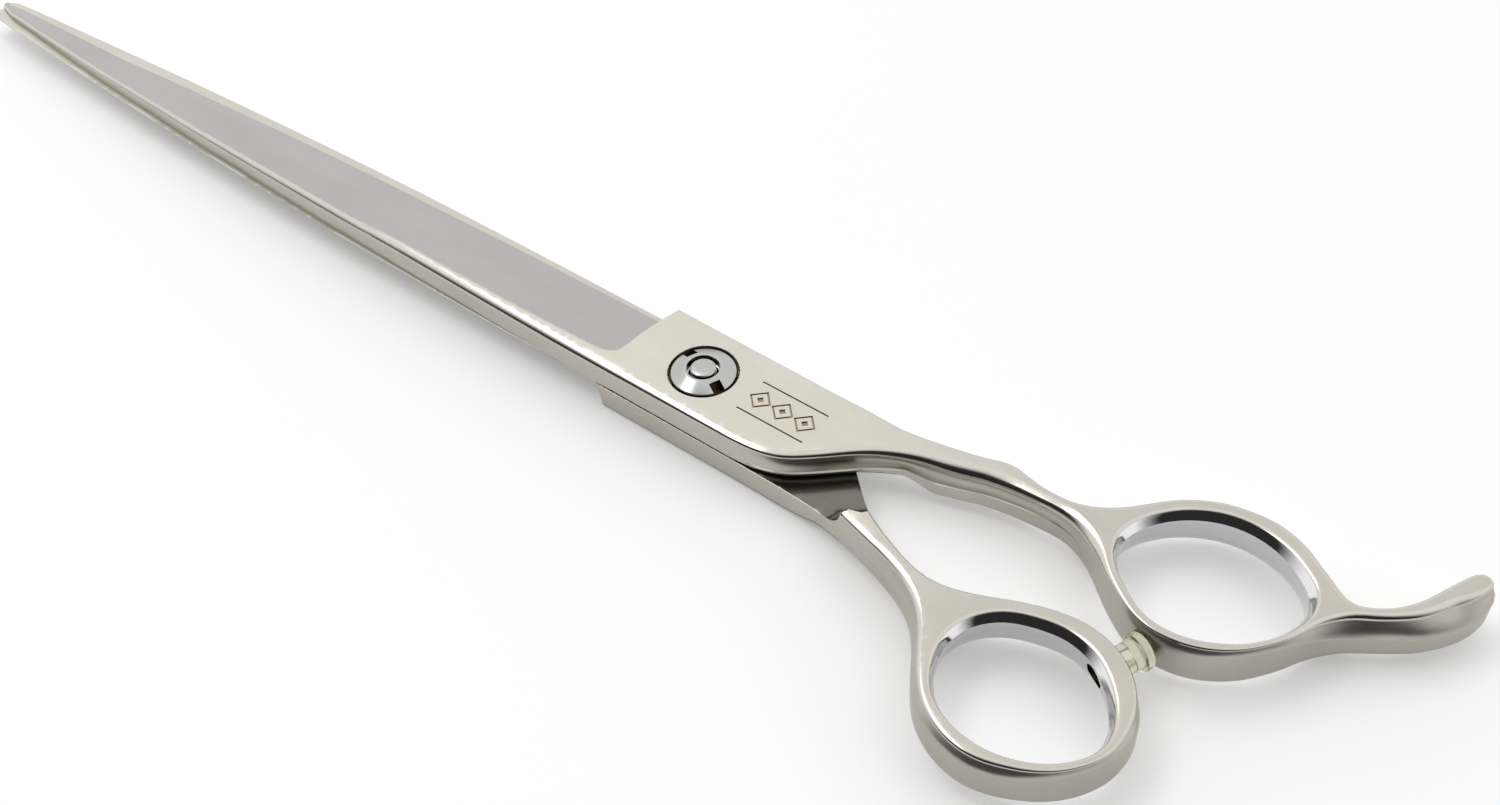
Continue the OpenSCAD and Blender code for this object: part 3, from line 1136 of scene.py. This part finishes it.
def bumper_place():
    """Frame of the bumper: Z leaves the thumb ring towards the finger ring."""
    stud = 0.5 * sum(cad_box("bumper_stud"))
    axis = np.array([math.cos(BUMPER_YAW), math.sin(BUMPER_YAW), 0])
    return (Matrix.Translation(Vector(stud - STUD_AHEAD * axis))
            @ Matrix.Rotation(BUMPER_YAW, 4, "Z") @ Matrix.Rotation(0.5 * math.pi, 4, "Y"))


def drill_stud_bore(half, placed):
    """The bore of the stud with a seat for the bumper, and its countersunk mouth painted dark as
    shade.
    """
    bore = 0.86
    profile = [(bore, -8), (bore, SEAT - 0.1), (2.0, SEAT - 0.1), (2.0, 4)]
    apply_cut(half, plain_object("bore_cutter", [lathe(profile, 48)], placed))
    profile = [(1.5, -8), (1.5, -1.0), (bore, -0.4), (bore, 0)]
    cutter = plain_object("mouth_cutter", [lathe(profile, 48)], placed)
    # the mouth's faces are painted dark as shade
    paint(cutter, PAINTED_SHADE)
    apply_cut(half, cutter)


def bumper_body(placed):
    neck, collar = 1.9, 2.35
    profile = rounded([(0.001, SEAT), (neck, SEAT), (neck, BUMPER_END - 1.15),
                       (collar, BUMPER_END - 1.05), (collar, BUMPER_END),
                       (0.001, BUMPER_END)],
                      {2: 0.15, 3: 0.12, 4: 0.3})
    return plain_object("bumper_rubber", [lathe(profile, 64)], placed)


def stud_body(placed):
    profile = rounded([(0.001, -0.4), (0.78, -0.4), (0.78, 2.5), (0.001, 2.5)], {1: 0.12})
    return plain_object("bumper_stud_steel", [lathe(profile, 48)], placed)


along_bumper = bumper_place()
drill_stud_bore(thumb, along_bumper)
bumper = bumper_body(along_bumper)
dress(bumper, clear_polymer())
stud = stud_body(along_bumper)
dress(stud, MIRROR_STEEL)
for small in (bumper, stud):
    finish_normals(small, 40)


# ---------------------------------------------------------------- pivot parts

def nut_body():
    low, high = cad_box("tension_nut")
    rim_r = high[0] - 0.28
    rim_z = BLOCK_TOP - 0.05
    bore = 2.03
    profile = rounded([(bore, low[2]), (rim_r - 0.1, low[2]), (rim_r, low[2] + 0.1),
                       (rim_r, rim_z), (2.55, high[2] - 0.2), (2.2, high[2] - 0.2),
                       (2.2, BLOCK_TOP - 0.35), (bore, BLOCK_TOP - 0.4)],
                      {3: 0.14, 4: 0.1, 5: 0.05})
    return plain_object("tension_nut_steel", [lathe(profile, 128, hollow=True)])


def slot_cutter():
    """The two key slots, opposite each other at the nut's rim."""
    parts = []
    for angle in (math.radians(158), math.radians(158) + math.pi):
        centre = (4.9 * math.cos(angle), 4.9 * math.sin(angle))
        parts.append(prism(square_outline(4.0, 1.6, centre, angle), 5.5, 10))
    return plain_object("slot_cutter", parts)


def screw_body():
    high = cad_box("pivot_screw")[1]
    head_r = high[0]
    profile = rounded([(0.001, 0.02), (head_r - 0.2, 0.02), (head_r, 0.22), (head_r, 1.3),
                       (2.75, 1.3), (2.75, 3.3), (2.5, 3.3), (2.5, 5.95), (2.0, 5.95),
                       (2.0, BLOCK_TOP - 1.2), (1.72, BLOCK_TOP - 1.0),
                       (1.72, high[2] - 0.32), (1.55, high[2] - 0.2), (0.001, high[2])],
                      {2: 0.08, 11: 0.08, 12: 0.06})
    return plain_object("pivot_screw_steel", [lathe(profile)])


nut = nut_body()
finish_normals(nut, 30)
apply_cut(nut, slot_cutter())
screw = screw_body()
finish_normals(screw, 30)
for piece in (nut, screw):
    dress(piece, TURNED_STEEL)

# the bush and the click ring take bronze painted nearly black as shade
SHADED_BRONZE = bronze()
HIDDEN = {"pivot_bush": SHADED_BRONZE, "click_ring": SHADED_BRONZE, "slide_washer": white_polymer(),
          "thrust_washer": GROUND_STEEL, "spring_washer": MIRROR_STEEL}
for node, material in HIDDEN.items():
    dress(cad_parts[node], material)

for obj, node, body, slot in (
        (finger, "finger_blade", "finger_half", "blade_steel"),
        (thumb, "thumb_blade", "thumb_half", "blade_steel"),
        (nut, "tension_nut", "nut", "polished_steel"),
        (screw, "pivot_screw", "thumb_half", "polished_steel"),
        (bumper, "bumper", "thumb_half", "clear_polymer"),
        (stud, "bumper_stud", "thumb_half", "polished_steel")):
    shade_evenly(obj)
    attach(obj, body)
    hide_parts(node)


# ---------------------------------------------------------------- stage

def floor_material():
    material, tree, shader, place = new_material("pale_floor")
    cloud = noise(tree, place, 0.004)
    colour = two_tone(tree, cloud, (0.66, 0.66, 0.66), (0.68, 0.68, 0.68))
    feed(tree, shader, {"Base Color": colour, "Roughness": 0.9, "Specular IOR Level": 0.0,
                        "Emission Color": colour, "Emission Strength": 0.4})
    return material


def build_stage():
    half = 15000
    floor = plain_object("floor", [prism(square_outline(2 * half, 2 * half), -20, -0.01)])
    dress(floor, floor_material())


# camera: direction, distance in mm, turn about its own line of sight and aim
AZIMUTH = math.radians(40.33)
ELEVATION = math.radians(46)
DISTANCE = 221.784
ROLL = math.radians(2.95)
TARGET = Vector((8.31, -0.85, 7.6))


def direction(azimuth, elevation):
    """Unit vector away from the shears: azimuth 0 is -Y and turns towards +X."""
    level = math.cos(elevation)
    return Vector((math.sin(azimuth) * level, -math.cos(azimuth) * level,
                   math.sin(elevation)))


def build_camera():
    toward = direction(AZIMUTH, ELEVATION)
    right = Vector((math.cos(AZIMUTH), math.sin(AZIMUTH), 0))
    up = toward.cross(right)
    right_rolled = math.cos(ROLL) * right - math.sin(ROLL) * up
    up_rolled = math.sin(ROLL) * right + math.cos(ROLL) * up
    data = bpy.data.cameras.new("camera")
    data.lens = 42
    data.sensor_width = 36
    data.sensor_fit = "HORIZONTAL"
    data.clip_start = 0.01
    camera = add_object("camera", data)
    matrix = Matrix((right_rolled, up_rolled, toward)).transposed().to_4x4()
    matrix.translation = (TARGET + DISTANCE * toward) * MM
    camera.matrix_world = matrix
    bpy.context.scene.camera = camera


def softbox(name, azimuth, elevation, distance, size, power):
    """An area light that looks at the shears from a direction given in degrees."""
    away = direction(math.radians(azimuth), math.radians(elevation))
    data = bpy.data.lights.new(name, "AREA")
    data.shape = "RECTANGLE"
    data.size, data.size_y = size
    data.energy = power
    light = add_object(name, data)
    light.location = away * distance
    light.rotation_euler = away.to_track_quat("Z", "Y").to_euler()


def build_light():
    """A white studio: bright above and behind the shears, dim beside the camera."""
    world = bpy.data.worlds.new("studio")
    bpy.context.scene.world = world
    world.use_nodes = True
    tree = world.node_tree
    away = tree.nodes.new("ShaderNodeTexCoord").outputs["Generated"]
    height = ramp(tree, axes(tree, away)["Z"], 0.0, 0.75, 1.22, 1.33)
    side = new_node(tree, "VectorMath", {0: away, 1: (*VIEW_SIDE, 0)},
                    operation="DOT_PRODUCT")["Value"]
    dim = ramp(tree, side, 0.1, 0.5, 1.0, 0.025)
    strength = join(tree, "MULTIPLY", height, dim)
    feed(tree, tree.nodes["Background"], {"Color": (1, 1, 1, 1), "Strength": strength})
    softbox("overhead_softbox", 285, 62, 0.9, (0.8, 0.3), 1.9)


build_stage()
build_camera()
build_light()
bpy.context.scene.view_settings.view_transform = "Standard"
